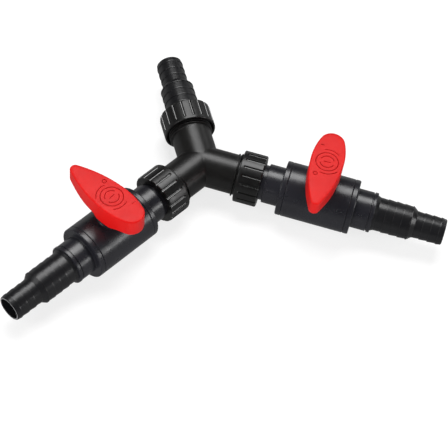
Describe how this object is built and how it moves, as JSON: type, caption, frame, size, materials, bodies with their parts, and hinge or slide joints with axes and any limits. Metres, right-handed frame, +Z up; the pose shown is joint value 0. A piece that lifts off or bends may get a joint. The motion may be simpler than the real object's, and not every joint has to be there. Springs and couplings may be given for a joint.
{
  "type": "hose splitter",
  "caption": "Y-shaped hose splitter with a stepped hose-tail inlet, union nuts, and ball-valve outlets with leaf-shaped levers and stepped hose tails.",
  "frame": {"origin": "centre of the part's footprint at the level of the surface that it lies on, under the pipe axes by the radius of the valve bodies", "axes": "+Y along the inlet arm from the Y towards the inlet hose, +X towards the right-hand outlet seen from above, +Z up, square to the plane of the arms; the valves lean 2 to 2.5 degrees about their arms"},
  "size_m": [0.3366, 0.201, 0.0659],
  "materials": {
    "black_plastic": "satin black polypropylene",
    "tail_plastic": "fine-grained black polypropylene",
    "grey_pvc": "satin anthracite PVC",
    "red_plastic": "satin bright red plastic",
    "rubber": "matt black rubber",
    "seat_ptfe": "white PTFE",
    "ball_plastic": "polished white plastic",
    "stem_plastic": "grey PVC"
  },
  "bodies": {
    "y": {"y_body": "black_plastic", "inlet_gasket": "rubber", "left_gasket": "rubber", "right_gasket": "rubber"},
    "inlet_nut": {"inlet_union_nut": "black_plastic"},
    "left_nut": {"left_union_nut": "black_plastic"},
    "right_nut": {"right_union_nut": "black_plastic"},
    "inlet_tail": {"inlet_hose_tail": "tail_plastic"},
    "left_valve": {"left_union_end": "grey_pvc", "left_valve_body": "grey_pvc", "left_socket_end": "grey_pvc", "left_hose_tail": "tail_plastic", "left_seat_inner": "seat_ptfe", "left_seat_outer": "seat_ptfe", "left_seat_orings": "rubber"},
    "right_valve": {"right_union_end": "grey_pvc", "right_valve_body": "grey_pvc", "right_socket_end": "grey_pvc", "right_hose_tail": "tail_plastic", "right_seat_inner": "seat_ptfe", "right_seat_outer": "seat_ptfe", "right_seat_orings": "rubber"},
    "left_lever": {"left_ball": "ball_plastic", "left_stem": "stem_plastic", "left_stem_orings": "rubber", "left_handle": "red_plastic"},
    "right_lever": {"right_ball": "ball_plastic", "right_stem": "stem_plastic", "right_stem_orings": "rubber", "right_handle": "red_plastic"}
  },
  "joints": [
    {"name": "inlet_nut_turn", "type": "hinge", "parent": "y", "child": "inlet_nut", "pos_m": [0, 0.0422, 0.02065], "axis": [0, 1, 0], "continuous": true},
    {"name": "left_nut_turn", "type": "hinge", "parent": "y", "child": "left_nut", "pos_m": [-0.03464, -0.0178, 0.02065], "axis": [-0.866, -0.5, 0], "continuous": true},
    {"name": "right_nut_turn", "type": "hinge", "parent": "y", "child": "right_nut", "pos_m": [0.03464, -0.0178, 0.02065], "axis": [0.866, -0.5, 0], "continuous": true},
    {"name": "inlet_tail_swivel", "type": "hinge", "parent": "y", "child": "inlet_tail", "pos_m": [0, 0.0452, 0.02065], "axis": [0, 1, 0], "continuous": true},
    {"name": "left_valve_swivel", "type": "hinge", "parent": "y", "child": "left_valve", "pos_m": [-0.03724, -0.0193, 0.02065], "axis": [-0.866, -0.5, 0], "continuous": true},
    {"name": "right_valve_swivel", "type": "hinge", "parent": "y", "child": "right_valve", "pos_m": [0.03724, -0.0193, 0.02065], "axis": [0.866, -0.5, 0], "continuous": true},
    {"name": "left_handle_turn", "type": "hinge", "parent": "left_valve", "child": "left_lever", "pos_m": [-0.07933, -0.0436, 0.02065], "axis": [-0.0218, 0.0378, 0.999], "range_deg": [-3.5, 86.5]},
    {"name": "right_handle_turn", "type": "hinge", "parent": "right_valve", "child": "right_lever", "pos_m": [0.07933, -0.0436, 0.02065], "axis": [0.0174, 0.0302, 0.9994], "range_deg": [0, 90]}
  ]
}
